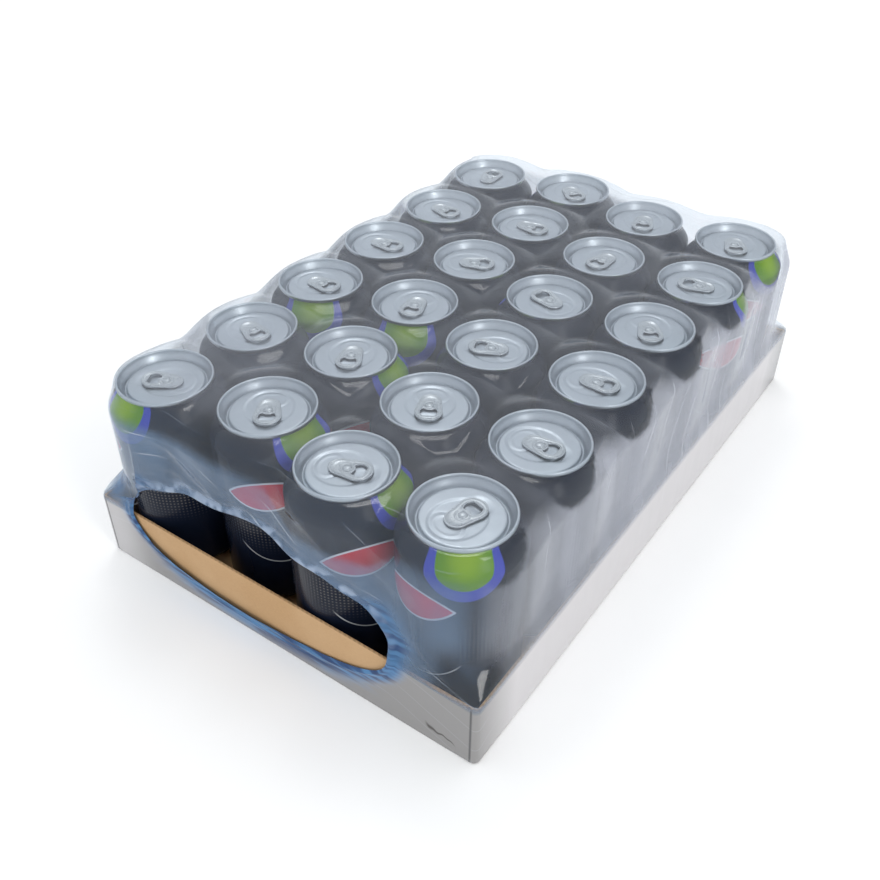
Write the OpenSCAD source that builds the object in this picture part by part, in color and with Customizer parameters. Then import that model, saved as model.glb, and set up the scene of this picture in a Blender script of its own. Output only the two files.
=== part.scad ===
// Tray of 24 canned drinks in clear shrink film.
//
// Six rows of four cans stand in a low cardboard tray, and one sleeve of film is shrunk
// round the lot. The origin is on the ground under the middle of the tray: +Z is up, the
// six rows run along Y, row 1 is at the -Y end and column 1 at the -X side.

/* [Cans] */
// Diameter of a can's body
can_d = 66; // [60:0.5:72]
// Height of a can over its rim
can_h = 122; // [105:1:145]
// Outer diameter of the seam that joins lid and body
rim_d = 54; // [50:0.5:56]
// Height of that seam
rim_h = 2.6; // [2:0.1:4]
// Width of the seam, seen from above
rim_w = 1.5; // [1:0.1:2.5]
// Height over which the body narrows to the seam
neck_h = 13; // [8:0.5:20]
// Diameter of the ring that a can stands on
foot_d = 48; // [40:0.5:52]
// Height over which the body narrows to that ring
foot_h = 9; // [5:0.5:14]
// Rise of the dome under a can
dome_h = 10; // [4:0.5:14]

/* [Lids and tabs] */
// Depth of the groove round the lid, below the top of the seam
groove_depth = 6.4; // [5:0.1:8]
// Width of the groove's floor
groove_w = 1.2; // [0.8:0.1:2]
// Depth of the lid's flat middle, below the top of the seam
panel_depth = 4.2; // [3.4:0.1:4.8]
// Diameter of the lid's flat middle
panel_d = 43; // [38:0.5:44]
// Length of a ring-pull tab
tab_l = 24; // [18:0.5:28]
// Width of a tab
tab_w = 15.5; // [10:0.5:17]
// Thickness of a tab
tab_t = 1; // [0.6:0.1:1.4]
// Length of the finger hole in a tab
tab_hole_l = 6.5; // [4:0.5:8]
// Diameter of the rivet that holds a tab
rivet_d = 5; // [3:0.5:6]
// Space between a tab and the lid
tab_lift = 0.4; // [0.2:0.1:1]

/* [Packing] */
// Space between two cans that stand side by side
can_gap = 0.3; // [0.1:0.1:1]
// How far back the second column stands
column_2_back = 13; // [0:0.5:20]
// How far back the third column stands
column_3_back = 0; // [0:0.5:20]
// How far back the fourth column stands
column_4_back = 5; // [0:0.5:20]
// Sideways step of the second and the fifth row
row_step = 3; // [0:0.5:8]

/* [Tray] */
// Thickness of the board
board_t = 1.6; // [1:0.1:4]
// Height of the tray's walls above the ground
tray_h = 43; // [25:1:60]
// Space between the cans and the walls
tray_gap = 0.3; // [0.1:0.1:2]
// Outer radius of the tray's upright corners
tray_corner_r = 3; // [2:0.5:8]
// Width of the glued corner flaps inside the end walls
flap_w = 24; // [10:1:32]
// Thickness of a corner flap where it is pressed flat
flap_t = 0.8; // [0.4:0.1:1]

/* [Film] */
// Thickness of the film
film_t = 0.5; // [0.3:0.1:1]
// Space between the film and what it is shrunk round
film_gap = 0.5; // [0.4:0.1:1.5]
// Depth to which the film dips between four lids
film_dip = 5; // [0:0.5:7]
// Width of the opening at each end
opening_w = 186; // [80:1:200]
// Height of that opening
opening_h = 66; // [40:1:76]
// Height of its middle above the ground
opening_z = 48; // [44:1:60]
// How far the opening lies off the middle, towards -X
opening_off = 12; // [0:1:30]
// Thickness of the shrunken roll round the opening
roll_t = 2.4; // [1:0.1:5]

/* [Hidden] */
$fn = 96;
ROWS = 6;
COLUMNS = 4;
LETTERS = "abcd";
function can_name(row, column) = str(row + 1, LETTERS[column]);

can_r = can_d / 2;
rim_r = rim_d / 2;
panel_r = panel_d / 2;
pitch = can_d + can_gap;

// The way each tab's finger hole points, in degrees from +X, by row and column.
TAB_TURNS = [
    [205, -55, 15, 75],
    [-20, -65, -60, 0],
    [0, -75, 200, 5],
    [5, 25, 160, -55],
    [-10, 0, -100, 190],
    [100, -40, -70, -60]
];

// Where the cans stand. Each column nests against the one before it, so the columns lie
// closer together the more they are shifted along Y.
BACK = [0, column_2_back, column_3_back, column_4_back];
BACK_MIDDLE = (min(BACK) + max(BACK)) / 2;
function nested_step(column) = sqrt(pitch * pitch - pow(BACK[column] - BACK[column - 1], 2));
function columns_to(column) = column == 0 ? 0 : columns_to(column - 1) + nested_step(column);
function column_x(column) = columns_to(column) - columns_to(COLUMNS - 1) / 2;
function column_shift(column) = BACK[column] - BACK_MIDDLE;
function row_y(row) = (row - (ROWS - 1) / 2) * pitch;
function row_shift(row) = (row == 1 || row == 4 ? 1 : -1) * row_step / 2;
function can_x(row, column) = column_x(column) + row_shift(row);
function can_y(row, column) = row_y(row) + column_shift(column);

// Farthest can centres from the middle of the tray.
reach_x = column_x(COLUMNS - 1) + row_step / 2;
reach_y = row_y(ROWS - 1) + max([for (column = [0:COLUMNS - 1]) column_shift(column)]);

inner_x = reach_x + can_r + tray_gap;
inner_y = reach_y + can_r + tray_gap + flap_t;
tray_x = inner_x + board_t;
tray_y = inner_y + board_t;
can_z = film_t + board_t;
rim_z = can_z + can_h;

// ---------------------------------------------------------------- cans

// Radius of the neck at a height 0 to 1 between the body and the seam.
function neck_r(t) = let (low = rim_r - rim_w / 2) low + (can_r - low) * (1 + cos(180 * t)) / 2;

function can_profile() = let (
    neck_z = can_h - rim_h - neck_h,
    foot_r = foot_d / 2,
    bead_w = 1.6,
    groove_r = panel_r + groove_w
) concat(
    [for (i = [0:6]) [(foot_r - bead_w) * i / 6, dome_h * (1 - pow(i / 6, 2)) + 1.2 * pow(i / 6, 2)]],
    [[foot_r - bead_w / 2, 0], [foot_r + bead_w / 2, 0]],
    [[foot_r + bead_w * 1.5, 1.2], [can_r - 1, foot_h - 1.6], [can_r, foot_h]],
    [for (i = [0:8]) [neck_r(i / 8), neck_z + neck_h * i / 8]],
    [[rim_r, can_h - rim_h + 0.3], [rim_r, can_h - 0.4], [rim_r - 0.4, can_h]],
    [[rim_r - rim_w, can_h], [rim_r - rim_w - 0.3, can_h - 0.6]],
    [[groove_r, can_h - groove_depth + 0.5], [groove_r - 0.3, can_h - groove_depth]],
    [[panel_r, can_h - groove_depth], [panel_r - 0.4, can_h - panel_depth]],
    [[0, can_h - panel_depth]]
);

module can(row, column) {
    color("midnightblue")
    translate([can_x(row, column), can_y(row, column), can_z])
    rotate_extrude()
    polygon(can_profile());
}

// A ring-pull tab, its rivet on the lid's middle and its finger hole towards +X.
module tab_blank() {
    end_r = tab_w / 2;
    nose_r = tab_w * 0.4;
    nose_x = nose_r - tab_l * 0.42;
    heel_x = tab_l * 0.58 - end_r;
    circle_at(nose_x, nose_r);
    circle_at(heel_x, end_r);
    polygon([[nose_x, -nose_r], [heel_x, -end_r], [heel_x, end_r], [nose_x, nose_r]]);
}

module circle_at(x, r) {
    translate([x, 0])
    circle(r);
}

module tab(row, column) {
    hole_r = tab_w * 0.3;
    hole_x = tab_l * 0.58 - tab_w / 2;
    color("silver")
    translate([can_x(row, column), can_y(row, column), rim_z - panel_depth])
    rotate([0, 0, TAB_TURNS[row][column]]) {
        translate([0, 0, tab_lift])
        difference() {
            linear_extrude(tab_t)
            tab_blank();
            translate([hole_x, 0, -1])
            linear_extrude(tab_t + 2)
            intersection() {
                circle(hole_r);
                translate([hole_r - tab_hole_l / 2, 0])
                square([tab_hole_l, tab_w], center = true);
            }
        }
        cylinder(d = rivet_d, h = tab_lift + tab_t + 0.3);
    }
}

// ---------------------------------------------------------------- tray

module rounded_block(half_x, half_y, height, r) {
    linear_extrude(height) {
        square([2 * (half_x - r), 2 * half_y], center = true);
        square([2 * half_x, 2 * (half_y - r)], center = true);
        for (x = [-1, 1], y = [-1, 1])
            translate([x * (half_x - r), y * (half_y - r)])
            circle(r);
    }
}

module tray() {
    inner_r = tray_corner_r - board_t / 2;
    wall_h = tray_h - film_t;
    color("burlywood")
    translate([0, 0, film_t]) {
        difference() {
            rounded_block(tray_x, tray_y, wall_h, tray_corner_r);
            translate([0, 0, board_t])
            rounded_block(inner_x, inner_y, wall_h, inner_r);
        }
        for (x = [-1, 1], y = [-1, 1])
            translate([x * (inner_x - flap_w / 2), y * (inner_y - flap_t / 2), wall_h / 2])
            cube([flap_w, flap_t, wall_h - 2 * board_t], center = true);
    }
}

// ---------------------------------------------------------------- film
//
// The film is a sleeve: rings run round the pack, in planes across Y, from the opening at
// the -Y end over the lids to the opening at the +Y end. Each ring has the same points:
// across the top, down the +X side, back under the tray and up the -X side. Two such
// sheets, a film thickness apart, and a rim at each opening close the solid.

CORNER_STEPS = 6;
// Levels of the ring's points on the sides, from under the lids' rims to the ground.
NECK_Z = rim_z - neck_h + 4;
TUCK_Z = tray_h + 16;
SIDE_LEVELS = [NECK_Z, (NECK_Z + TUCK_Z) / 2, TUCK_Z, (TUCK_Z + tray_h) / 2, tray_h + 1, film_t + 1];
BOTTOM_XS = [1, 0.6, 0.2, -0.2, -0.6, -1];
// How far the end faces close in on the opening, and how much of the roll lies there.
END_STEPS = [[0.2, 0], [0.45, 0], [0.7, 0.15], [0.88, 1], [1, 0.7]];

// 0 at the tray's level and below, 1 from the tuck upwards.
function above_tray(z) = min(1, max(0, (z - tray_h - 1) / (TUCK_Z - tray_h - 1)));
// 0 at the neck and below, 1 at the rims.
function above_neck(z) = min(1, max(0, (z - NECK_Z) / (rim_z - NECK_Z)));
function blend(a, b, t) = a + (b - a) * t;
function over_cans(z, reach) = reach + blend(can_r, rim_r, above_neck(z));
function half_width(z) = blend(tray_x, over_cans(z, reach_x), above_tray(z)) + film_gap;
function half_length(z) = blend(tray_y, over_cans(z, reach_y), above_tray(z)) + film_gap;
function corner_r(z) = blend(tray_corner_r, blend(can_r, rim_r, above_neck(z)), above_tray(z));

// How far the film dips at a place over the lids.
function lid_distance(x, y) = min([
    for (row = [0:ROWS - 1], column = [0:COLUMNS - 1])
        norm([x - can_x(row, column), y - can_y(row, column)])
]);
DIP_FROM_R = pitch / 2 + 2.85;
DIP_DEEPEST_R = pitch * 0.7;
function dip(x, y) = let (
    t = min(1, max(0, (lid_distance(x, y) - DIP_FROM_R) / (DIP_DEEPEST_R - DIP_FROM_R)))
) film_dip * t * t * (3 - 2 * t);

// Grid lines over the top: five in each gap between two columns or two rows.
function gap_lines(middle, half_pitch) = let (half_gap = half_pitch - rim_r - 0.4) [
    for (t = [-half_gap - 8, -half_gap, 0, half_gap, half_gap + 8]) middle + t
];
TOP_HALF = half_width(rim_z);
COLUMN_GAPS = [for (column = [1:COLUMNS - 1]) (column_x(column - 1) + column_x(column)) / 2];
TOP_XS = concat(
    [-TOP_HALF, column_x(0) - rim_r + 8],
    [for (i = [0:COLUMNS - 2]) for (x = gap_lines(COLUMN_GAPS[i], nested_step(i + 1) / 2)) x],
    [column_x(COLUMNS - 1) + rim_r - 8, TOP_HALF]
);
ROW_LINES = [
    for (row = [1:ROWS - 1]) for (y = gap_lines((row_y(row - 1) + row_y(row)) / 2, pitch / 2)) y
];

// A ring's points: [place across the top or bottom from -1 to 1, height].
RING = concat(
    [for (x = TOP_XS) [x / TOP_HALF, rim_z]],
    [for (z = SIDE_LEVELS) [1, z]],
    [for (x = BOTTOM_XS) [x, 0]],
    [for (i = [1:len(SIDE_LEVELS)]) [-1, SIDE_LEVELS[len(SIDE_LEVELS) - i]]]
);

// Stations: [kind, value]. "body" is a line along Y, "corner" an angle round the upright
// corners and "end" a step over the end face. The sign is the end of the pack.
function end_stations(sign) = concat(
    [for (i = [0:CORNER_STEPS]) ["corner", sign, 90 * i / CORNER_STEPS]],
    [for (step = END_STEPS) ["end", sign, step]]
);
function reversed(list) = [for (i = [1:len(list)]) list[len(list) - i]];
STATIONS = concat(
    reversed(end_stations(-1)),
    [for (y = ROW_LINES) ["body", 0, y]],
    end_stations(1)
);

// Shift of the row lines at a place across the pack, following the columns.
function line_shift(x) = lookup(x, [for (column = [0:COLUMNS - 1]) [column_x(column), column_shift(column)]]);
// Step of the column lines at a place along the pack, following the rows.
function line_step(y) = lookup(y, [for (row = [0:ROWS - 1]) [row_y(row), row_shift(row)]]);

function is_top(point) = point[1] == rim_z;
function is_bottom(point) = point[1] == 0;
function height(point, x, y, out) =
    is_top(point) ? rim_z + film_gap + out - dip(x, y) :
    is_bottom(point) ? film_t - out :
    point[1];

function body_point(point, y, out) = let (
    z = point[1],
    side = half_width(z) + out,
    line_x = point[0] * side + (abs(point[0]) < 0.85 ? line_step(y) : 0),
    line_y = y + (is_bottom(point) ? 0 : line_shift(line_x))
) [line_x, line_y, height(point, line_x, line_y, out)];

function corner_point(point, sign, angle, out) = let (
    z = point[1],
    r = corner_r(z) + film_gap,
    line_x = point[0] * (half_width(z) + out - (r + out) * (1 - cos(angle))),
    line_y = sign * (half_length(z) + out - (r + out) * (1 - sin(angle)))
) [line_x, line_y, height(point, line_x, line_y, out)];

// The opening is an oval that is a little square. A point goes to the place on its edge
// that lies in the same direction from its middle.
function power(value, exponent) = sign(value) * pow(abs(value), exponent);
function opening_point(from_x, from_z) = let (
    angle = atan2((from_z - opening_z) / rim_z, (from_x + opening_off) / (2 * tray_x))
) [
    power(cos(angle), 0.85) * opening_w / 2 - opening_off,
    power(sin(angle), 0.85) * opening_h / 2 + opening_z
];

function end_point(point, sign, step, out) = let (
    start = corner_point(point, sign, 90, out),
    goal = opening_point(start[0], start[2]),
    x = blend(start[0], goal[0], step[0]),
    z = blend(start[2], goal[1], step[0]),
    roll = out > 0 ? roll_t * step[1] : 0
) [x, sign * (half_length(z) + out + roll), z];

function film_point(station, point, out) =
    station[0] == "body" ? body_point(point, station[2], out) :
    station[0] == "corner" ? corner_point(point, station[1], station[2], out) :
    end_point(point, station[1], station[2], out);

function sheet(out) = [for (station = STATIONS, point = RING) film_point(station, point, out)];

// Two triangles over four points, split so that the outer diagonal stays.
function outward(point) = point[2] + abs(point[1]);
function quad(points, a, b, c, d) =
    outward(points[a]) + outward(points[c]) > outward(points[b]) + outward(points[d]) ?
        [[a, b, c], [a, c, d]] :
        [[b, c, d], [b, d, a]];

module film() {
    ring = len(RING);
    count = len(STATIONS);
    inside = ring * count;
    points = concat(sheet(film_t), sheet(0));
    faces = [
        for (i = [0:count - 2], j = [0:ring - 1]) let (
            k = (j + 1) % ring,
            near = i * ring,
            far = near + ring
        ) for (face = concat(
            quad(points, near + j, far + j, far + k, near + k),
            quad(points, inside + near + j, inside + near + k, inside + far + k, inside + far + j)
        )) face
    ];
    last = inside - ring;
    rims = [
        for (j = [0:ring - 1]) let (k = (j + 1) % ring) for (face = concat(
            quad(points, j, k, inside + k, inside + j),
            quad(points, last + k, last + j, inside + last + j, inside + last + k)
        )) face
    ];
    color("lightsteelblue", 0.4)
    polyhedron(points, concat(faces, rims));
}

// ---------------------------------------------------------------- the pack

tray();
film();
for (row = [0:ROWS - 1], column = [0:COLUMNS - 1]) {
    can(row, column);
    tab(row, column);
}
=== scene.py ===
import math

import bmesh
import bpy
from mathutils import Matrix, Vector, noise


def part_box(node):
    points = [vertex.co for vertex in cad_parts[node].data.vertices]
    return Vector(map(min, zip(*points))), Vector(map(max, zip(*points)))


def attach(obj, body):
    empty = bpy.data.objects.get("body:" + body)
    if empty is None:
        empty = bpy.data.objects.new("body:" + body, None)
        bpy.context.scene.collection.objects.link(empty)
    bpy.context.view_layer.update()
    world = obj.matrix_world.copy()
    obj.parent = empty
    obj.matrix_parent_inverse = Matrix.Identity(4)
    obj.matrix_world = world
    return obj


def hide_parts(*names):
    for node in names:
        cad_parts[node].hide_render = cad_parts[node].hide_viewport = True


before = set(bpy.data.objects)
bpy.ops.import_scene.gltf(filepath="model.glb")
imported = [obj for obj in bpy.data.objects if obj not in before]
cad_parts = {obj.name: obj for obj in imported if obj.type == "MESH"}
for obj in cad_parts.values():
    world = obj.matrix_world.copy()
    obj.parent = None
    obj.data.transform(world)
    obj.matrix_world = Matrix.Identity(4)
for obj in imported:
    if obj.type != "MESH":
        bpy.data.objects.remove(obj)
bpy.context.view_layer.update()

ROWS = 6
COLUMNS = 4
LETTERS = "abcd"
TAU = 2 * math.pi

# The way each tab's finger hole points, in degrees from +X, by row and column.
TAB_TURNS = [
    [205, -55, 15, 75],
    [-20, -65, -60, 0],
    [0, -75, 200, 5],
    [5, 25, 160, -55],
    [-10, 0, -100, 190],
    [100, -40, -70, -60],
]

# The way the lime disc of each can's print faces, in degrees from +X.
PRINT_TURNS = [
    [-98, -5, 12, -54],
    [120, 13, 150, 128],
    [-62, -66, 110, 140],
    [95, 125, 165, 115],
    [150, 105, 130, 24],
    [115, 160, 95, -10],
]


def mm(value):
    return value / 1000


def clamp(value, low=0.0, high=1.0):
    return max(low, min(high, value))


def smooth(t):
    t = clamp(t)
    return t * t * (3 - 2 * t)


def blend(a, b, t):
    return a + (b - a) * t


tray_low, tray_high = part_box("tray")
TRAY_X = tray_high.x
TRAY_Y = tray_high.y
TRAY_H = tray_high.z

# ---------------------------------------------------------------- materials


class Finish:
    """A material's node tree, with short calls for the nodes that are used here."""

    def __init__(self, name):
        self.material = bpy.data.materials.new(name)
        self.material.use_nodes = True
        self.tree = self.material.node_tree
        self.tree.nodes.clear()
        self.output = self.tree.nodes.new("ShaderNodeOutputMaterial")

    def put(self, value, socket):
        if isinstance(value, bpy.types.NodeSocket):
            self.tree.links.new(value, socket)
        elif isinstance(value, tuple) and len(value) == 3 and socket.type == "RGBA":
            socket.default_value = (*value, 1)
        else:
            socket.default_value = value

    def node(self, kind, settings=None, **inputs):
        made = self.tree.nodes.new("ShaderNode" + kind)
        for key, value in (settings or {}).items():
            setattr(made, key, value)
        for key, value in inputs.items():
            self.put(value, made.inputs[key.replace("_", " ")])
        return made

    def math(self, operation, a, b=0.0, limit=False):
        made = self.node("Math", {"operation": operation, "use_clamp": limit})
        for socket, value in zip(made.inputs, (a, b)):
            self.put(value, socket)
        return made.outputs[0]

    def times(self, first, *others):
        for other in others:
            first = self.math("MULTIPLY", first, other)
        return first

    def unsigned(self, value):
        return self.math("ABSOLUTE", value)

    def apart(self, a, b):
        """How far apart two values are."""
        return self.unsigned(self.math("SUBTRACT", a, b))

    def place(self):
        return self.node("TexCoord").outputs["Object"]

    def axes(self, vector):
        return self.node("SeparateXYZ", Vector=vector).outputs

    def attribute(self, name, output="Fac"):
        return self.node("Attribute", {"attribute_name": name}).outputs[output]

    def stretched(self, vector, scale):
        made = self.node("Mapping", Vector=vector)
        made.inputs["Scale"].default_value = scale
        return made.outputs[0]

    def noise(self, vector, scale, detail=2.0, roughness=0.5):
        made = self.node("TexNoise", Vector=vector, Scale=scale, Detail=detail)
        made.inputs["Roughness"].default_value = roughness
        return made.outputs["Fac"]

    def between(self, value, low, high, to_low=0.0, to_high=1.0):
        made = self.node("MapRange", {"interpolation_type": "SMOOTHSTEP"})
        for socket, item in zip(made.inputs, (value, low, high, to_low, to_high)):
            self.put(item, socket)
        return made.outputs[0]

    def mix(self, factor, a, b):
        made = self.node("Mix", {"data_type": "RGBA"})
        self.put(factor, made.inputs[0])
        self.put(a, made.inputs[6])
        self.put(b, made.inputs[7])
        return made.outputs[2]

    def bump(self, height, distance, strength):
        return self.node("Bump", Height=height, Distance=distance, Strength=strength).outputs[0]

    def surface(self, shader):
        self.tree.links.new(shader, self.output.inputs["Surface"])
        return self.material


def make_lid_metal():
    f = Finish("rolled_aluminium")
    place = f.place()
    grain = f.noise(f.stretched(place, (60, 2600, 600)), 1.0, 3, 0.6)
    marks = f.noise(place, 220, 2)
    colour = f.mix(grain, (0.40, 0.43, 0.46), (0.48, 0.51, 0.54))
    shader = f.node("BsdfPrincipled", Metallic=1.0)
    f.put(colour, shader.inputs["Base Color"])
    f.put(f.between(marks, 0.3, 0.7, 0.3, 0.4), shader.inputs["Roughness"])
    f.put(f.bump(grain, 0.00003, 0.5), shader.inputs["Normal"])
    return f.surface(shader.outputs[0])


def make_tab_metal():
    f = Finish("tab_aluminium")
    place = f.place()
    grain = f.noise(f.stretched(place, (300, 300, 300)), 4.0, 3, 0.6)
    colour = f.mix(grain, (0.42, 0.44, 0.45), (0.50, 0.52, 0.53))
    shader = f.node("BsdfPrincipled", Metallic=1.0)
    f.put(colour, shader.inputs["Base Color"])
    f.put(f.between(grain, 0.3, 0.7, 0.26, 0.36), shader.inputs["Roughness"])
    f.put(f.bump(grain, 0.00001, 0.15), shader.inputs["Normal"])
    return f.surface(shader.outputs[0])


# The radius at which the print is unrolled, and the spacing of its fine dots.
PRINT_R = mm(33)
DOT_SPACING = mm(2.1)


def make_can_print():
    """Printed can wall: the attribute is a place on the can, with the print facing +X."""
    f = Finish("printed_can")
    x, y, z = f.axes(f.attribute("print_place", "Vector"))
    angle = f.math("ARCTAN2", y, x)
    across = f.math("MULTIPLY", angle, PRINT_R)

    def disc(cx, cz, radius):
        """1 inside a disc on the unrolled wall and 0 outside, and the distance from its middle."""
        edge = mm(0.25)
        dx = f.math("SUBTRACT", across, cx)
        dz = f.math("SUBTRACT", z, cz)
        d = f.math("SQRT", f.math("ADD", f.times(dx, dx), f.times(dz, dz)))
        return f.between(d, radius - edge, radius + edge, 1.0, 0.0), d

    place = f.place()
    mottle = f.noise(place, 90, 3)
    body = f.mix(mottle, (0.005, 0.008, 0.018), (0.009, 0.013, 0.026))
    # Fine dots that fade out up and down the wall.
    dot_x = f.math("PINGPONG", f.times(angle, PRINT_R / DOT_SPACING), 0.5)
    dot_z = f.math("PINGPONG", f.times(z, 1 / DOT_SPACING), 0.5)
    dots = f.times(f.between(dot_x, 0.2, 0.38), f.between(dot_z, 0.2, 0.38))
    fade = f.times(f.between(z, mm(40), mm(62)), f.between(z, mm(66), mm(92), 1.0, 0.0))
    colour = f.mix(f.times(dots, fade, 0.6), body, (0.13, 0.125, 0.12))
    # Lime disc cut by the neck, over an indigo disc.
    indigo, _ = disc(0.0, mm(116), mm(21.5))
    colour = f.mix(indigo, colour, (0.045, 0.06, 0.36))
    lime, lime_d = disc(0.0, mm(118), mm(16.5))
    lime_shade = f.between(lime_d, mm(3), mm(15))
    lime_colour = f.mix(lime_shade, (0.21, 0.34, 0.006), (0.10, 0.23, 0.006))
    colour = f.mix(lime, colour, lime_colour)
    # Red leaf, the space that two discs share, with a thin pale edge.
    low, _ = disc(mm(-26), mm(60), mm(34))
    high, _ = disc(mm(-30), mm(110), mm(34))
    low_edge, _ = disc(mm(-26), mm(60), mm(35.2))
    high_edge, _ = disc(mm(-30), mm(110), mm(35.2))
    colour = f.mix(f.times(low_edge, high_edge), colour, (0.62, 0.62, 0.66))
    colour = f.mix(f.times(low, high), colour, (0.58, 0.028, 0.05))
    # Thin pale hoop low on the wall.
    _, hoop_d = disc(mm(-24), mm(66), mm(29))
    hoop = f.between(f.apart(hoop_d, mm(29)), mm(0.2), mm(0.6), 1.0, 0.0)
    hoop = f.times(hoop, f.between(z, mm(44), mm(50), 1.0, 0.0))
    colour = f.mix(f.times(hoop, 0.7), colour, (0.55, 0.57, 0.58))
    # Bare metal at the foot and just under the seam.
    foot = f.between(z, mm(4.2), mm(4.6), 1.0, 0.0)
    bare = f.math("ADD", foot, f.between(z, mm(119.0), mm(119.3)), limit=True)
    colour = f.mix(bare, colour, (0.60, 0.63, 0.66))
    shader = f.node("BsdfPrincipled")
    f.put(colour, shader.inputs["Base Color"])
    f.put(bare, shader.inputs["Metallic"])
    f.put(f.between(mottle, 0.3, 0.7, 0.18, 0.26), shader.inputs["Roughness"])
    shader.inputs["Specular IOR Level"].default_value = 0.15
    f.put(f.bump(f.noise(place, 900, 2), 0.00002, 0.3), shader.inputs["Normal"])
    return f.surface(shader.outputs[0])


FLUTE_SPACING = mm(3.2)


def make_board():
    """Plain brown corrugated board."""
    f = Finish("kraft_board")
    place = f.place()
    fibre = f.noise(f.stretched(place, (500, 500, 1400)), 1.0, 4, 0.65)
    cloud = f.noise(place, 26, 3, 0.55)
    fleck = f.noise(f.stretched(place, (900, 900, 2600)), 1.0, 2, 0.5)
    colour = f.mix(fibre, (0.40, 0.235, 0.105), (0.56, 0.35, 0.178))
    colour = f.mix(f.between(cloud, 0.35, 0.7, 0.0, 0.35), colour, (0.60, 0.40, 0.225))
    colour = f.mix(f.between(fleck, 0.68, 0.76, 0.0, 0.5), colour, (0.20, 0.11, 0.05))
    # The cut top edge shows the flutes between the two liners; their hollows are painted as dark stripes of
    # shade.
    x, y, z = f.axes(place)
    flute = f.math("PINGPONG", f.times(f.math("ADD", x, y), 1 / FLUTE_SPACING), 0.5)
    flute_hollow_shade = f.times(f.between(z, TRAY_H - mm(0.06), TRAY_H - mm(0.03)), f.between(flute, 0.15, 0.35))
    colour = f.mix(f.times(flute_hollow_shade, 0.35), colour, (0.16, 0.10, 0.055))
    # A pressed line stands beside each upright corner of the end walls: a dent in the bump, and painted
    # shade as a dark line in the colour.
    score_and_shade = f.between(f.apart(f.unsigned(x), TRAY_X - mm(5)), mm(0.3), mm(0.8), 1.0, 0.0)
    score_and_shade = f.times(score_and_shade, f.between(f.unsigned(y), TRAY_Y - mm(1), TRAY_Y - mm(0.5)))
    colour = f.mix(f.times(score_and_shade, 0.8), colour, (0.07, 0.05, 0.035))
    shader = f.node("BsdfPrincipled", Roughness=0.82)
    f.put(colour, shader.inputs["Base Color"])
    height = f.math("ADD", fibre, f.times(cloud, 0.6))
    height = f.math("SUBTRACT", height, f.times(score_and_shade, 3.0))
    f.put(f.bump(height, 0.00012, 0.7), shader.inputs["Normal"])
    return f.surface(shader.outputs[0])


# Where the scuff is on the -Y end wall, and half its length.
SCUFF_X = mm(113)
SCUFF_Z = mm(9.5)
SCUFF_REACH = mm(10)


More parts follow.
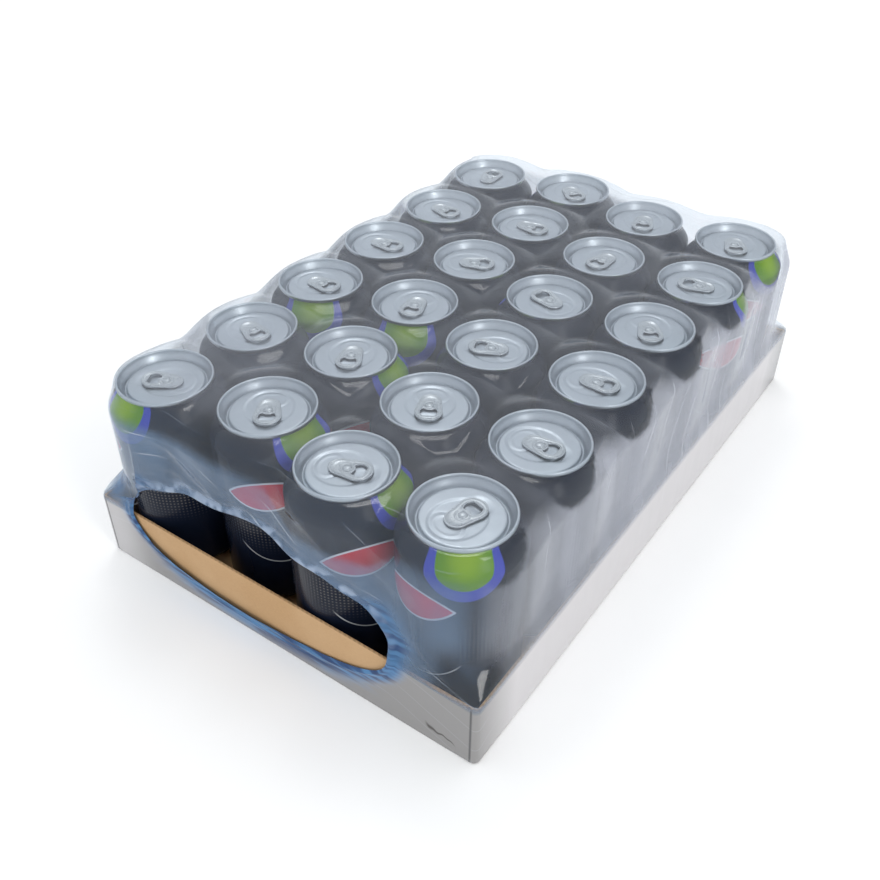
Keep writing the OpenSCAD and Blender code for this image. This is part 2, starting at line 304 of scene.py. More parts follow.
def make_film():
    """Clear shrink film: a pale veil where it is milky, a blue tint where it is gathered, and gloss."""
    f = Finish("shrink_film")
    place = f.place()
    haze = f.attribute("haze")
    gather = f.attribute("gather")
    slack = f.attribute("slack")
    end_face_and_shade = f.attribute("end_face_and_shade")
    backed = f.attribute("backed")
    ruffle = f.attribute("ruffle")
    x, y, z = f.axes(place)
    wobble = f.times(f.noise(f.stretched(place, (9, 9, 6)), 1.0, 1, 0.4), 5.0)
    patches = f.between(f.noise(f.stretched(place, (26, 30, 18)), 1.0, 1), 0.5, 0.64)

    def fold_highlights(across, spacing):
        """Painted highlight: pale lines along fine creases that lie across one direction, wander a little
        and fade in and out.
        """
        phase = f.math("ADD", f.times(across, 1 / spacing), wobble)
        return f.between(f.math("PINGPONG", phase, 0.5), 0.0, 0.035, 1.0, 0.0)

    upright = fold_highlights(y, mm(19))
    slanting = fold_highlights(f.math("ADD", z, f.times(x, 0.16)), mm(15))
    loose = f.math("SUBTRACT", 1.0, f.times(backed, 0.85))
    fold = f.times(f.mix(end_face_and_shade, upright, slanting), slack, patches, loose)
    streak = f.noise(f.stretched(place, (60, 60, 5)), 1.0, 1)
    cloud = f.noise(place, 14, 1)
    uneven = f.math("ADD", f.between(streak, 0.3, 0.72, 0.84, 1.16), f.between(cloud, 0.3, 0.7, -0.1, 0.1))
    uneven = f.mix(backed, uneven, (1.0, 1.0, 1.0))
    cover = f.math("MULTIPLY", haze, uneven, limit=True)
    cover = f.math("ADD", cover, f.times(fold, 0.2), limit=True)
    # On the board the veil is a plain pale grey; painted shade makes it darker at the ends, fading out
    # towards their -X corners.
    end_shade_fade = f.between(x, -TRAY_X + mm(8), -TRAY_X + mm(45), 0.75, 0.0)
    shaded_board_end = f.mix(end_shade_fade, (0.33, 0.32, 0.315), (0.66, 0.64, 0.645))
    on_board = f.mix(end_face_and_shade, (0.68, 0.655, 0.66), shaded_board_end)
    # Off the board the veil is bluer at the ends, and painted darker there as shade.
    in_air = f.mix(end_face_and_shade, (0.50, 0.52, 0.59), (0.20, 0.30, 0.45))
    pale = f.mix(backed, in_air, on_board)
    # Painted highlight: pale lines along the creases.
    pale = f.mix(fold, pale, (0.66, 0.69, 0.75))
    # Painted shade: dark lines beside the end walls' upright corners, over the pressed lines; and a scuff
    # low on the wall.
    corner = f.between(f.apart(f.unsigned(x), TRAY_X - mm(3.4)), mm(0.2), mm(1.0), 1.0, 0.0)
    pale = f.mix(f.times(corner, backed, end_face_and_shade, 0.75), pale, (0.05, 0.05, 0.055))
    along = f.times(f.math("SUBTRACT", x, SCUFF_X), 1 / SCUFF_REACH)

    def wave(turns, height):
        return f.times(f.math("SINE", f.times(along, turns)), height)

    middle = f.math("SUBTRACT", SCUFF_Z, f.times(along, mm(2.4)))
    middle = f.math("ADD", middle, f.math("ADD", wave(4.1, mm(0.7)), wave(11.0, mm(0.4))))
    off = f.times(f.apart(z, middle), f.between(along, -0.7, 0.6, 0.45, 1.3))
    scuff = f.times(
        f.between(off, mm(0.1), mm(1.1), 1.0, 0.0),
        f.between(f.unsigned(along), 0.7, 1.0, 1.0, 0.0),
        f.between(y, -TRAY_Y, -TRAY_Y + mm(5), 1.0, 0.0),
        f.between(streak, 0.35, 0.55, 0.25, 0.9),
    )
    pale = f.mix(scuff, pale, (0.055, 0.045, 0.04))
    # Blue where it is gathered, with crumpled pale bits along the opening's upper edge.
    blue_streak = f.noise(f.stretched(place, (40, 40, 400)), 1.0, 1)
    blue = f.mix(f.between(blue_streak, 0.35, 0.65), (0.012, 0.045, 0.14), (0.07, 0.20, 0.40))
    colour = f.mix(gather, pale, blue)
    thickness = f.between(blue_streak, 0.3, 0.6, 0.85, 0.5)
    cover = f.math("ADD", cover, f.times(gather, thickness), limit=True)
    crumple = f.between(f.noise(f.stretched(place, (110, 90, 170)), 1.0, 1), 0.42, 0.62)
    ruffled = f.times(ruffle, crumple)
    colour = f.mix(ruffled, colour, (0.32, 0.40, 0.53))
    cover = f.math("ADD", cover, f.times(ruffled, 0.4), limit=True)
    milk = f.node("BsdfPrincipled", Roughness=0.5)
    f.put(colour, milk.inputs["Base Color"])
    milk.inputs["Specular IOR Level"].default_value = 0.1
    clear = f.node("BsdfTransparent")
    clear.inputs[0].default_value = (0.96, 0.975, 0.99, 1)
    gloss = f.node("BsdfGlossy", Roughness=0.09)
    gloss.inputs["Color"].default_value = (0.95, 0.97, 1.0, 1)
    wrinkle = f.noise(f.stretched(place, (75, 75, 26)), 1.0, 1)
    normal = f.bump(f.times(wrinkle, slack), 0.0006, 0.5)
    f.put(normal, gloss.inputs["Normal"])
    veil = f.node("MixShader")
    f.put(cover, veil.inputs[0])
    f.put(clear.outputs[0], veil.inputs[1])
    f.put(milk.outputs[0], veil.inputs[2])
    facing = f.node("LayerWeight", Blend=0.5)
    f.put(normal, facing.inputs["Normal"])
    # The film is glossy where it is seen edge on, and a little more where it is slack.
    edge_on = f.times(f.math("POWER", facing.outputs["Facing"], 5.0), 0.6)
    weight = f.math("ADD", edge_on, f.math("ADD", f.times(slack, 0.014), 0.012))
    whole = f.node("MixShader")
    f.put(weight, whole.inputs[0])
    f.put(veil.outputs[0], whole.inputs[1])
    f.put(gloss.outputs[0], whole.inputs[2])
    return f.surface(whole.outputs[0])


def make_floor():
    f = Finish("pale_floor")
    grain = f.noise(f.place(), 12, 3)
    shader = f.node("BsdfPrincipled", Roughness=0.9)
    f.put(f.mix(grain, (0.93, 0.93, 0.93), (0.96, 0.96, 0.96)), shader.inputs["Base Color"])
    return f.surface(shader.outputs[0])


# ---------------------------------------------------------------- mesh helpers


def spun(bm, profile, steps, middle=(0, 0, 0)):
    """Spin a line of (radius, height) points round the upright axis through middle."""
    cx, cy, cz = middle
    verts = [bm.verts.new((cx + r, cy, cz + z)) for r, z in profile]
    edges = [bm.edges.new(pair) for pair in zip(verts, verts[1:])]
    bmesh.ops.spin(
        bm, geom=verts + edges, cent=middle, axis=(0, 0, 1), dvec=(0, 0, 0),
        angle=TAU, steps=steps, use_merge=True, use_duplicate=False,
    )


def piece(name, bm, material, slot, *nodes, smooth_below=40):
    """Turn a bmesh into a finished piece that stands for the named CAD nodes."""
    bmesh.ops.remove_doubles(bm, verts=bm.verts, dist=1e-6)
    bmesh.ops.recalc_face_normals(bm, faces=bm.faces)
    limit = math.radians(smooth_below)
    for face in bm.faces:
        face.smooth = True
    for edge in bm.edges:
        edge.smooth = edge.is_manifold and edge.calc_face_angle(0) < limit
    mesh = bpy.data.meshes.new(name)
    bm.to_mesh(mesh)
    bm.free()
    made = bpy.data.objects.new(name, mesh)
    bpy.context.scene.collection.objects.link(made)
    made.data.materials.append(material)
    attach(made, "root")
    if nodes:
        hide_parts(*nodes)
    return made


# ---------------------------------------------------------------- cans

low_1a, high_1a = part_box("can_1a")
CAN_R = (high_1a.x - low_1a.x) / 2
CAN_H = high_1a.z - low_1a.z
RIM_Z = high_1a.z
RIM_R = mm(27)
NECK_H = mm(13)
SEAM_H = mm(2.6)
PANEL_DEPTH = mm(4.2)
GROOVE_DEPTH = mm(6.4)
PANEL_R = mm(21.5)


def can_middle(row, column):
    low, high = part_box(f"can_{row + 1}{LETTERS[column]}")
    return Vector(((low.x + high.x) / 2, (low.y + high.y) / 2, low.z))


MIDDLES = [[can_middle(row, column) for column in range(COLUMNS)] for row in range(ROWS)]


def neck_r(t):
    """Radius of the neck, at 0 to 1 of its height."""
    low = RIM_R - mm(1.1)
    return low + (CAN_R - low) * (1 + math.cos(math.pi * t)) / 2


def wall_profile():
    foot = mm(24)
    dome = mm(10)
    neck_z = CAN_H - SEAM_H - NECK_H
    inside = foot - mm(1.6)
    points = [(inside * i / 8, mm(1.2) + (dome - mm(1.2)) * (1 - (i / 8) ** 2)) for i in range(9)]
    points += [(foot - mm(1.3), mm(0.3)), (foot - mm(0.6), 0.0), (foot + mm(0.6), 0.0)]
    points += [(foot + mm(1.4), mm(0.4)), (foot + mm(2.4), mm(1.5)), (CAN_R - mm(2.2), mm(6.2))]
    points += [(CAN_R - mm(0.8), mm(7.9)), (CAN_R - mm(0.15), mm(9.2)), (CAN_R, mm(11))]
    points += [(CAN_R, blend(mm(11), neck_z, i / 8)) for i in range(1, 8)]
    points += [(neck_r(i / 14), neck_z + NECK_H * i / 14) for i in range(15)]
    return points


def lid_profile():
    top = CAN_H
    under = top - SEAM_H
    points = [(RIM_R - mm(1.1), under - mm(0.1)), (RIM_R - mm(0.35), under + mm(0.1))]
    points += [(RIM_R - mm(0.05), under + mm(0.5)), (RIM_R, under + mm(1.3)), (RIM_R, top - mm(0.75))]
    points += [(RIM_R - mm(0.12), top - mm(0.3)), (RIM_R - mm(0.42), top - mm(0.06))]
    points += [(RIM_R - mm(0.75), top), (RIM_R - mm(1.1), top - mm(0.07)), (RIM_R - mm(1.4), top - mm(0.4))]
    inner = RIM_R - mm(1.5)
    groove = PANEL_R + mm(1.5)
    for i in range(7):
        t = i / 6
        points.append((blend(inner, groove, smooth(t) * 0.4 + 0.6 * t), top - blend(mm(0.9), mm(5.7), t)))
    points += [(groove - mm(0.3), top - GROOVE_DEPTH + mm(0.15)), (groove - mm(0.75), top - GROOVE_DEPTH)]
    points += [(PANEL_R + mm(0.3), top - GROOVE_DEPTH + mm(0.15)), (PANEL_R, top - GROOVE_DEPTH + mm(0.6))]
    points += [(PANEL_R - mm(0.15), top - PANEL_DEPTH - mm(0.5))]
    points += [(PANEL_R - mm(0.5), top - PANEL_DEPTH - mm(0.1))]
    edge = PANEL_R - mm(1.0)
    points += [(edge * (1 - i / 30), top - PANEL_DEPTH) for i in range(31)]
    return points


def oval(x, y, cx, cy, rx, ry):
    """Distance from an oval's middle, where 1 is on its edge."""
    return math.hypot((x - cx) / rx, (y - cy) / ry)


def panel_relief(x, y):
    """Height of the lid's flat middle, with the finger hole of its tab towards +X."""
    dish = max(0.0, 1 - oval(x, y, mm(-3.0), 0, mm(16.2), mm(14.0)))
    height = -mm(0.3) * smooth(dish / 0.09)
    well = 1 - oval(x, y, mm(11.5), 0, mm(6.5), mm(8.2))
    height -= mm(0.35) * smooth(well / 0.5)
    mouth = oval(x, y, mm(-9.5), 0, mm(7.6), mm(10.2))
    height += mm(0.15) * math.exp(-(((mouth - 0.78) / 0.09) ** 2))
    height -= mm(0.15) * math.exp(-(((mouth - 1.0) / 0.035) ** 2))
    return height


PRINT = make_can_print()
LID = make_lid_metal()
TAB = make_tab_metal()


def build_can(row, column):
    name = f"{row + 1}{LETTERS[column]}"
    middle = MIDDLES[row][column]
    bm = bmesh.new()
    spun(bm, wall_profile(), 96, middle)
    wall = piece("wall_" + name, bm, PRINT, "printed_wall", "can_" + name)
    turn = Matrix.Rotation(-math.radians(PRINT_TURNS[row][column]), 3, "Z")
    places = wall.data.attributes.new("print_place", "FLOAT_VECTOR", "POINT")
    for vert, item in zip(wall.data.vertices, places.data):
        item.vector = turn @ (vert.co - middle)

    bm = bmesh.new()
    spun(bm, lid_profile(), 96, middle)
    turn = Matrix.Rotation(-math.radians(TAB_TURNS[row][column]), 3, "Z")
    panel_z = middle.z + CAN_H - PANEL_DEPTH
    for vert in bm.verts:
        if abs(vert.co.z - panel_z) < 1e-6:
            at = turn @ (vert.co - middle)
            vert.co.z += panel_relief(at.x, at.y)
    piece("lid_" + name, bm, LID, "bare_metal", "can_" + name, smooth_below=60)


# ---------------------------------------------------------------- tabs

TAB_L = mm(24)
TAB_W = mm(15.5)


def tab_outline(angle, hole_x):
    """Distance from the hole's middle to the tab's edge: two end circles and their flanks."""
    heel_r = TAB_W / 2
    nose_r = TAB_W * 0.4
    heel_x = TAB_L * 0.58 - heel_r
    nose_x = nose_r - TAB_L * 0.42
    direction = Vector((math.cos(angle), math.sin(angle)))
    inside, outside = 0.0, TAB_L
    for _ in range(24):
        r = (inside + outside) / 2
        x, y = hole_x + direction.x * r, direction.y * r
        along = clamp((x - nose_x) / (heel_x - nose_x))
        near_x = blend(nose_x, heel_x, along)
        if math.hypot(x - near_x, y) < blend(nose_r, heel_r, along):
            inside = r
        else:
            outside = r
    return inside


def build_tab(row, column):
    name = f"{row + 1}{LETTERS[column]}"
    low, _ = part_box("tab_" + name)
    middle = MIDDLES[row][column]
    hole_x = mm(6.6)
    # Closed section from the hole's edge, over the top to the outer edge, and back below.
    section = [(0.0, 0.45), (0.02, 0.85), (0.07, 1.0), (0.16, 0.93), (0.26, 0.62), (0.40, 0.55)]
    section += [(0.56, 0.55), (0.70, 0.62), (0.82, 0.93), (0.92, 1.0), (0.98, 0.85), (1.0, 0.45)]
    section += [(0.97, 0.12), (0.88, 0.0), (0.5, 0.05), (0.10, 0.0), (0.02, 0.12), (0.0, 0.45)]
    bm = bmesh.new()
    spun(bm, [(1 + q, h) for q, h in section], 64)
    bmesh.ops.remove_doubles(bm, verts=bm.verts, dist=1e-5)
    thick = mm(1.15)
    for vert in bm.verts:
        angle = math.atan2(vert.co.y, vert.co.x)
        q = math.hypot(vert.co.x, vert.co.y) - 1
        hole = mm(3.3) / max(abs(math.cos(angle)), 0.001)
        hole = min(hole, mm(4.6))
        outline = tab_outline(angle, hole_x)
        r = blend(hole, outline, q)
        if outline - hole > mm(7) and 0.001 < q < 0.999:
            # The rolled edges keep their width where the blank is long.
            span = outline - hole
            edge = mm(1.7)
            if q < 0.3:
                r = hole + edge * q / 0.3
            elif q > 0.65:
                r = outline - edge * (1 - q) / 0.35
            else:
                r = hole + blend(edge, span - edge, (q - 0.3) / 0.35)
        vert.co = Vector((hole_x + math.cos(angle) * r, math.sin(angle) * r, vert.co.z * thick))
    # Rivet and the tongue round it.
    rivet = [(0.0, 1.55), (1.2, 1.5), (2.0, 1.25), (2.35, 0.9), (2.5, 0.3), (2.5, -0.3)]
    spun(bm, [(mm(r), mm(z)) for r, z in rivet], 32)
    tongue = [(3.1, 0.62), (3.3, 0.86), (3.7, 0.93), (4.1, 0.86), (4.3, 0.62)]
    spun(bm, [(mm(r), mm(z)) for r, z in tongue], 40)
    lift = Matrix.Translation((middle.x, middle.y, low.z + mm(0.1)))
    turn = Matrix.Rotation(math.radians(TAB_TURNS[row][column]), 4, "Z")
    tilt = Matrix.Rotation(math.radians(-1.2), 4, "Y")
    bmesh.ops.transform(bm, matrix=lift @ turn @ tilt, verts=bm.verts)
    piece("ring_pull_" + name, bm, TAB, "bare_metal", "tab_" + name, smooth_below=70)


for row in range(ROWS):
    for column in range(COLUMNS):
        build_can(row, column)
        build_tab(row, column)

# ---------------------------------------------------------------- tray

BOARD = mm(1.6)
FLAP = mm(0.8)
CORNER = mm(3)


def near_z(edge, height):
    return all(abs(vert.co.z - height) < mm(0.1) for vert in edge.verts)


def soften(bm, edges, offset, segments):
    bmesh.ops.bevel(
        bm, geom=edges, offset=offset, offset_type="OFFSET", segments=segments,
        profile=0.5, affect="EDGES", material=-1,
    )


def sized_box(bm, middle, size):
    """A box of its own, with its edges still sharp."""
    made = bmesh.ops.create_cube(bm, size=1)["verts"]
    turn = Matrix.Translation(middle) @ Matrix.Diagonal((*size, 1))
    bmesh.ops.transform(bm, matrix=turn, verts=made)
    return made


def build_tray():
    base = tray_low.z
    bm = bmesh.new()
    sized_box(bm, (0, 0, (TRAY_H + base) / 2), (2 * TRAY_X, 2 * TRAY_Y, TRAY_H - base))
    upright = [e for e in bm.edges if not near_z(e, TRAY_H) and not near_z(e, base)]
    soften(bm, upright, CORNER, 5)
    mouth = max(bm.faces, key=lambda face: face.calc_center_median().z)
    bmesh.ops.inset_region(bm, faces=[mouth], thickness=BOARD, use_even_offset=True)
    floor = bmesh.ops.extrude_discrete_faces(bm, faces=[mouth])["faces"][0]
    bmesh.ops.translate(bm, vec=(0, 0, base + BOARD - TRAY_H), verts=floor.verts)
    soften(bm, [e for e in bm.edges if near_z(e, TRAY_H) and e.calc_face_angle(0) > 1], mm(0.3), 2)
    soften(bm, [e for e in bm.edges if near_z(e, base)], mm(1.2), 3)
    inner_x = TRAY_X - BOARD
    inner_y = TRAY_Y - BOARD
    for x in (-1, 1):
        for y in (-1, 1):
            middle = (x * (inner_x - mm(12.5)), y * (inner_y - FLAP / 2), TRAY_H / 2)
            flap = sized_box(bm, middle, (mm(24), FLAP - mm(0.05), TRAY_H - mm(4.5)))
            edges = dict.fromkeys(edge for vert in flap for edge in vert.link_edges)
            soften(bm, list(edges), mm(0.2), 2)
    piece("board_tray", bm, make_board(), "board", "tray", smooth_below=35)


build_tray()

# ---------------------------------------------------------------- film

REACH_X = max(abs(m.x) for line in MIDDLES for m in line)
REACH_Y = max(abs(m.y) for line in MIDDLES for m in line)
PITCH = 2 * CAN_R + mm(0.3)
GAP = mm(0.5)
NECK_Z = RIM_Z - mm(15)
TUCK_Z = TRAY_H + mm(16)
# The opening of each end: its size, the height of its middle, and how far that is towards -X.
OPENING_W = mm(186)
OPENING_H = mm(66)
OPENING_Z = mm(48)
OPENING_OFF = mm(12)
FILM_THICKNESS = mm(0.12)
# What the film's material reads from each vertex.
FILM_FIELDS = ["haze", "gather", "slack", "end_face_and_shade", "backed", "ruffle"]

# Steps of the film's grid round a ring, and from one opening to the other.
TOP_STEPS = 110
SIDE_STEPS = 44
BOTTOM_STEPS = 10
BODY_STEPS = 144
CORNER_STEPS = 12
END_STEPS = 34


def above_tray(z):
    return smooth((z - TRAY_H - mm(0.5)) / (TUCK_Z - TRAY_H))


def above_neck(z):
    return clamp((z - NECK_Z) / (RIM_Z - NECK_Z))


def over_cans(z, reach):
    return reach + blend(CAN_R, RIM_R, above_neck(z))


def half_width(z):
    return blend(TRAY_X, over_cans(z, REACH_X), above_tray(z)) + GAP


def half_length(z):
    return blend(TRAY_Y, over_cans(z, REACH_Y), above_tray(z)) + GAP


def corner_radius(z):
    return blend(CORNER, blend(CAN_R, RIM_R, above_neck(z)), above_tray(z)) + GAP


def lid_distance(x, y):
    return min(math.hypot(x - m.x, y - m.y) for line in MIDDLES for m in line)


def dip(x, y):
    """How far the film sinks between the lids."""
    t = (lid_distance(x, y) - RIM_R - mm(3)) / (PITCH * 0.7 - RIM_R - mm(3))
    return mm(3.4) * smooth(t)


def side_valley(y, z, sign):
    """How far the film is drawn in between two cans of an outer column."""
    column = COLUMNS - 1 if sign > 0 else 0
    away = min(abs(y - MIDDLES[row][column].y) for row in range(ROWS))
    deep = blend(0.0, mm(2.6), smooth((z - TRAY_H) / mm(30)))
    deep = blend(deep, mm(4.5), above_neck(z))
    return deep * (1 - math.cos(TAU * away / PITCH)) / 2


def end_valley(x, z, sign):
    """How far the film is drawn in between two cans of an end row."""
    line = MIDDLES[ROWS - 1 if sign > 0 else 0]
    if x <= line[0].x or x >= line[-1].x:
        here = line[0] if x <= line[0].x else line[-1]
        back, wave = REACH_Y - abs(here.y), 0.0
    else:
        at = next(i for i in range(COLUMNS - 1) if x <= line[i + 1].x)
        t = (x - line[at].x) / (line[at + 1].x - line[at].x)
        back = REACH_Y - abs(blend(line[at].y, line[at + 1].y, smooth(t)))
        wave = (1 - math.cos(TAU * t)) / 2
    deep = mm(2.5) * wave + min(back, mm(5)) * 0.5
    return deep * smooth((z - TRAY_H - mm(6)) / mm(40))


def wander(x, y, z, size, seed):
    return noise.noise(Vector((x * size + seed, y * size, z * size)))


def ring_point(i):
    """Point i of a ring: (part, place across from -1 to 1, height)."""
    if i < TOP_STEPS:
        return "top", blend(-1, 1, i / (TOP_STEPS - 1)), RIM_Z
    i -= TOP_STEPS
    if i < SIDE_STEPS:
        t = (i + 1) / SIDE_STEPS
        return "side", 1.0, blend(RIM_Z, mm(0.9), t)
    i -= SIDE_STEPS
    if i < BOTTOM_STEPS:
        return "bottom", blend(1, -1, (i + 0.5) / BOTTOM_STEPS), 0.0
    i -= BOTTOM_STEPS
    return "side", -1.0, blend(RIM_Z, mm(0.9), 1 - i / SIDE_STEPS)


RING = [ring_point(i) for i in range(TOP_STEPS + 2 * SIDE_STEPS + BOTTOM_STEPS)]


def film_height(part, x, y, z):
    if part == "top":
        return RIM_Z + GAP - dip(x, y)
    if part == "bottom":
        return mm(0.3)
    return z


def body_point(part, across, z, y):
    half = half_width(z)
    if part == "side":
        half -= side_valley(y, z, across)
    if part == "top":
        half -= side_valley(y, RIM_Z, 1 if across > 0 else -1) * abs(across) ** 6
    x = across * half
    return Vector((x, y, film_height(part, x, y, z)))


def corner_point(part, across, z, sign, angle):
    r = corner_radius(z)
    x = across * (half_width(z) - r * (1 - math.cos(angle)))
    y = sign * (half_length(z) - r * (1 - math.sin(angle)))
    if part != "bottom":
        y -= sign * end_valley(x, z, sign) * (1 - math.cos(angle))
    return Vector((x, y, film_height(part, x, y, z)))


def signed_power(value, power):
    return math.copysign(abs(value) ** power, value)


def opening_edge(x, z, sign):
    """The place on the opening's edge that lies the same way from its middle as (x, z)."""
    angle = math.atan2((z - OPENING_Z) / RIM_Z, (x + OPENING_OFF) / (2 * TRAY_X))
    ragged = 1 + 0.05 * math.sin(5 * angle + sign) + 0.03 * math.sin(13 * angle)
    ragged = blend(1, ragged, smooth((math.sin(angle) + 0.2) / 0.5))
    edge_x = signed_power(math.cos(angle), 0.85) * OPENING_W / 2 - OPENING_OFF
    edge_z = signed_power(math.sin(angle), 0.85) * OPENING_H / 2 * ragged + OPENING_Z
    return edge_x, edge_z


def end_point(part, across, z, sign, t):
    """A point of an end face, t of the way to the opening, and how far it still has to go."""
    start = corner_point(part, across, z, sign, math.pi / 2)
    edge_x, edge_z = opening_edge(start.x, start.z, sign)
    x = blend(start.x, edge_x, t)
    high = blend(start.z, edge_z, t)
    left = (1 - t) * math.hypot(edge_x - start.x, edge_z - start.z)
    roll = smooth(1 - left / mm(11))
    y = half_length(high) - end_valley(x, high, sign)
    ridges = math.sin(left / mm(1.1) + 4 * wander(x, sign, high, 25, 4))
    y += roll * (mm(1.1) + mm(0.8) * ridges)
    fold = wander(x * 0.4 + high * 0.9, sign, high * 0.2 - x * 0.2, 60, 9)
    sharp = abs(wander(x * 0.5 + high * 1.1, sign * 2, high * 0.3 - x * 0.3, 38, 17))
    free = (1 - roll) * smooth(t / 0.12) * smooth((high - TRAY_H) / mm(12))
    y += max(-mm(0.35), (mm(0.9) * fold - mm(2.6) * (sharp - 0.25)) * free)
    return Vector((x, sign * y, high)), left


def stations():
    """Lines of the sleeve from the -Y opening to the +Y one: (kind, end, value)."""
    ends = [("end", -1, 1 - i / END_STEPS) for i in range(END_STEPS)]
    ends += [("corner", -1, math.pi / 2 * (1 - i / CORNER_STEPS)) for i in range(CORNER_STEPS)]
    reach = half_length(RIM_Z) - corner_radius(RIM_Z)
    body = [("body", 0, blend(-reach, reach, i / BODY_STEPS)) for i in range(BODY_STEPS + 1)]
    far = [("corner", 1, a) for _, _, a in reversed(ends[END_STEPS:])]
    far += [("end", 1, t) for _, _, t in reversed(ends[:END_STEPS])]
    return ends + body + far


def sign_of(value):
    return math.copysign(1, value)


def on_air(z):
    """0 where the film lies on the board, 1 above it."""
    return smooth((z - TRAY_H + mm(0.8)) / mm(1.6))


def film_haze(part, point):
    """How milky the film is: strong on the long sides, weaker at the ends, thin on top."""
    x, y, z = point
    if part == "bottom":
        return 0.1
    column = COLUMNS - 1 if x > 0 else 0
    away = min(abs(y - MIDDLES[row][column].y + sign_of(x) * mm(13)) for row in range(ROWS))
    window = math.sqrt(max(0.0, 1 - (away / mm(20)) ** 2))
    side = smooth((abs(x) - REACH_X - RIM_R * 0.8) / mm(9))
    end = smooth((abs(y) - REACH_Y - RIM_R * 0.8) / mm(9))
    # On a long side there is a clear window in front of each neck, and the veil is whole below it.
    start = blend(RIM_Z + mm(5), RIM_Z - mm(17), window)
    on_side = blend(0.27, 0.47, clamp(0.5 + y / REACH_Y / 2))
    on_side += 0.06 * smooth((away - mm(18)) / mm(14)) + 0.1 * wander(0, y, z * 0.3, 25, 3)
    on_side *= blend(0.45, 1.0, smooth((y + mm(195)) / mm(110)))
    on_side = blend(on_side, 0.004 if x > 0 else 0.1, smooth((z - start + mm(1.5)) / mm(3)))
    # At an end it reaches the shoulders, but lower in front of the third can.
    third = smooth((x + mm(5)) / mm(25)) * (1 - smooth((x - mm(60)) / mm(25)))
    start = RIM_Z - mm(13) - mm(17) * third
    on_end = 0.26 + 0.12 * wander(x * 0.5, sign_of(y), z, 22, 8)
    on_end = blend(on_end, 0.02, smooth((z - start + mm(4)) / mm(8)))
    # Just above the tray it is clear at the corners.
    low = smooth((TRAY_H + mm(34) - z) / mm(18))
    bare = max(smooth((abs(y) - REACH_Y - mm(6)) / mm(14)) * side, smooth((x - mm(98)) / mm(16)) * end)
    on_end *= 1 - 0.9 * low * bare
    on_side *= 1 - 0.9 * low * bare
    # On top it is thinnest round the necks of the outer cans, and thickest at one corner.
    outer = window * smooth((abs(x) - REACH_X - mm(2)) / mm(12))
    outer = max(outer, 0.8 * smooth((abs(y) - REACH_Y - mm(4)) / mm(14)))
    thick = smooth((-x - mm(15)) / mm(60)) * smooth((-y - mm(50)) / mm(80))
    on_top = blend(0.063 + 0.045 * thick, 0.006, outer)
    veil = blend(on_top, blend(on_end, on_side, side * (1 - 0.75 * end)), max(side, end))
    return blend(0.82, veil, on_air(z))


def corner_gather(point):
    """The film is also gathered up its -X corners, from the tray to half the cans' height."""
    across = smooth((-point.x - mm(112)) / mm(12)) * smooth((abs(point.y) - REACH_Y) / mm(18))
    upward = smooth((point.z - TRAY_H - mm(2)) / mm(10)) * (1 - smooth((point.z - mm(66)) / mm(26)))
    return 0.9 * across * upward


def edge_gather(point, left):
    """Blue gathering and crumpling of an end face, this far from the opening's edge."""
    high = smooth((point.z - OPENING_Z) / mm(16))
    at_side = smooth((abs(point.x + OPENING_OFF) - mm(68)) / mm(22))
    band = blend(blend(mm(19), mm(15), at_side), blend(mm(5), mm(22), at_side), high)
    gathered = smooth(1.5 - 1.5 * left / band) * blend(1.0, blend(0.3, 0.9, at_side), high)
    ruffled = smooth(1.4 - left / mm(7)) * smooth((point.z - OPENING_Z) / mm(12)) * (1 - 0.7 * at_side)
    return gathered, ruffled


def build_film():
    lines = stations()
    bm = bmesh.new()
    haze, gather, slack, end_face_and_shade, backed, ruffle = [bm.verts.layers.float.new(name) for name in FILM_FIELDS]
    count = len(RING)
    made = bmesh.ops.create_grid(bm, x_segments=count, y_segments=len(lines) - 1, size=1)
    for vert in made["verts"]:
        i = round((vert.co.x + 1) / 2 * count) % count
        j = round((vert.co.y + 1) / 2 * (len(lines) - 1))
        part, across, z = RING[i]
        kind, sign, value = lines[j]
        gathered, ruffled = 0.0, 0.0
        if kind == "body":
            point = body_point(part, across, z, value)
        elif kind == "corner":
            point = corner_point(part, across, z, sign, value)
        else:
            point, left = end_point(part, across, z, sign, value)
            gathered, ruffled = edge_gather(point, left)
        vert[ruffle] = ruffled
        vert[gather] = max(gathered, corner_gather(point))
        vert[haze] = film_haze(part if kind == "body" else "side", point)
        vert[end_face_and_shade] = smooth((abs(point.y) - REACH_Y - RIM_R * 0.5) / mm(14))
        shoulder = 0.6 * smooth((abs(point.y) - REACH_Y - mm(2)) / mm(14))
        vert[slack] = max(shoulder, 1 - 0.95 * smooth((point.z - RIM_Z + mm(12)) / mm(9)))
        vert[backed] = 1 - on_air(point.z)
        vert.co = point
    bmesh.ops.remove_doubles(bm, verts=bm.verts, dist=1e-5)
    film = piece("film_sleeve", bm, make_film(), "film", "film", smooth_below=80)
    wall = film.modifiers.new("thickness", "SOLIDIFY")
    wall.thickness = FILM_THICKNESS
    wall.offset = 1


build_film()

# ---------------------------------------------------------------- floor, light, camera


def build_floor():
    bm = bmesh.new()
    bmesh.ops.create_grid(bm, x_segments=8, y_segments=8, size=6)
    mesh = bpy.data.meshes.new("floor")
    bm.to_mesh(mesh)
    bm.free()
    floor = bpy.data.objects.new("floor", mesh)
    mesh.materials.append(make_floor())
    bpy.context.scene.collection.objects.link(floor)


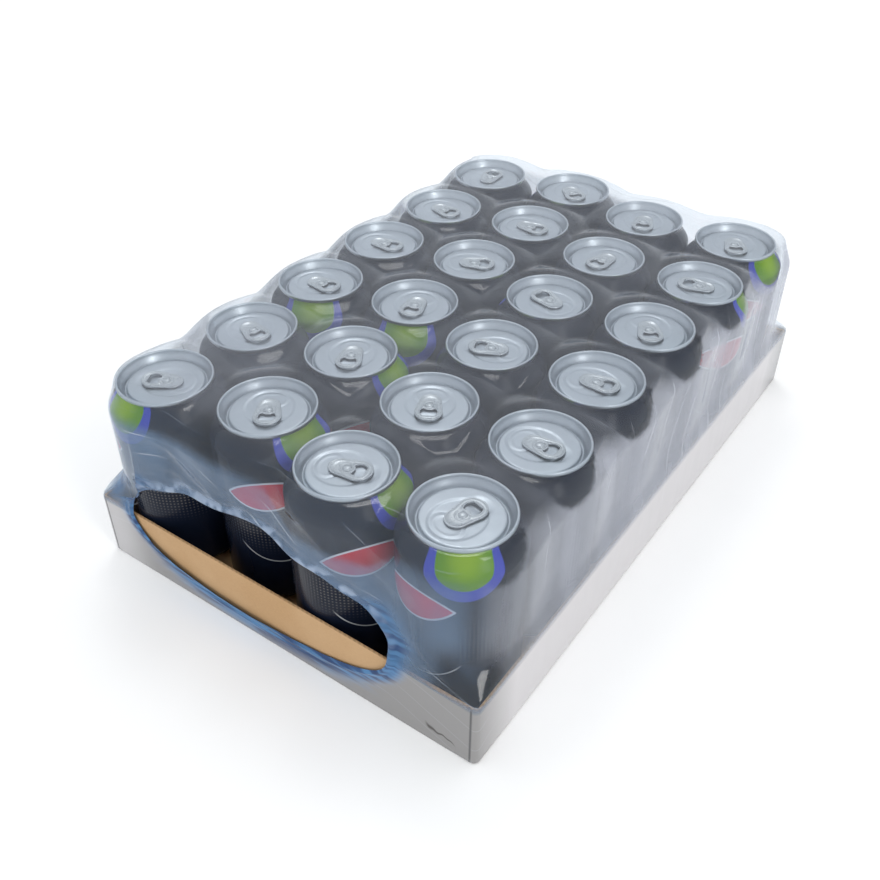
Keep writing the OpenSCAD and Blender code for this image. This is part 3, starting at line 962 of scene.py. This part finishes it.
def build_light(name, place, aim, size, power, colour=(1, 1, 1)):
    lamp = bpy.data.lights.new(name, "AREA")
    lamp.shape = "RECTANGLE"
    lamp.size, lamp.size_y = size
    lamp.energy = power
    lamp.color = colour
    made = bpy.data.objects.new(name, lamp)
    made.location = place
    made.rotation_euler = (Vector(aim) - Vector(place)).to_track_quat("-Z", "Y").to_euler()
    bpy.context.scene.collection.objects.link(made)


def build_world():
    world = bpy.data.worlds.new("studio")
    world.use_nodes = True
    back = world.node_tree.nodes["Background"]
    back.inputs[0].default_value = (0.95, 0.975, 1.0, 1)
    back.inputs[1].default_value = 1.07
    bpy.context.scene.world = world


CAMERA_PLACE = (0.28485, -0.45484, 0.44138)
CAMERA_LENS = 40.69
CAMERA_AZIMUTH = 35.02
CAMERA_ELEVATION = 38.72
CAMERA_ROLL = 0.23


def build_camera():
    camera = bpy.data.cameras.new("camera")
    camera.lens = CAMERA_LENS
    camera.sensor_width = 36
    camera.clip_start = 0.01
    made = bpy.data.objects.new("camera", camera)
    azimuth = math.radians(CAMERA_AZIMUTH)
    elevation = math.radians(CAMERA_ELEVATION)
    roll = math.radians(CAMERA_ROLL)
    ahead = Vector((
        -math.sin(azimuth) * math.cos(elevation),
        math.cos(azimuth) * math.cos(elevation),
        -math.sin(elevation),
    ))
    right = ahead.cross(Vector((0, 0, 1))).normalized()
    up = right.cross(ahead)
    across = right * math.cos(roll) + up * math.sin(roll)
    above = up * math.cos(roll) - right * math.sin(roll)
    turn = Matrix((across, above, -ahead)).transposed().to_4x4()
    made.matrix_world = Matrix.Translation(CAMERA_PLACE) @ turn
    bpy.context.scene.collection.objects.link(made)
    bpy.context.scene.camera = made


build_floor()
build_world()
build_light("key", (-0.62, 0.75, 1.9), (0, 0, 0.1), (0.5, 0.5), 4.0, (1.0, 0.97, 0.92))
build_light("side", (1.3, -0.5, 1.1), (0, 0, 0.1), (0.35, 0.9), 5, (1.0, 0.96, 0.90))
build_camera()
bpy.context.scene.view_settings.view_transform = "Standard"
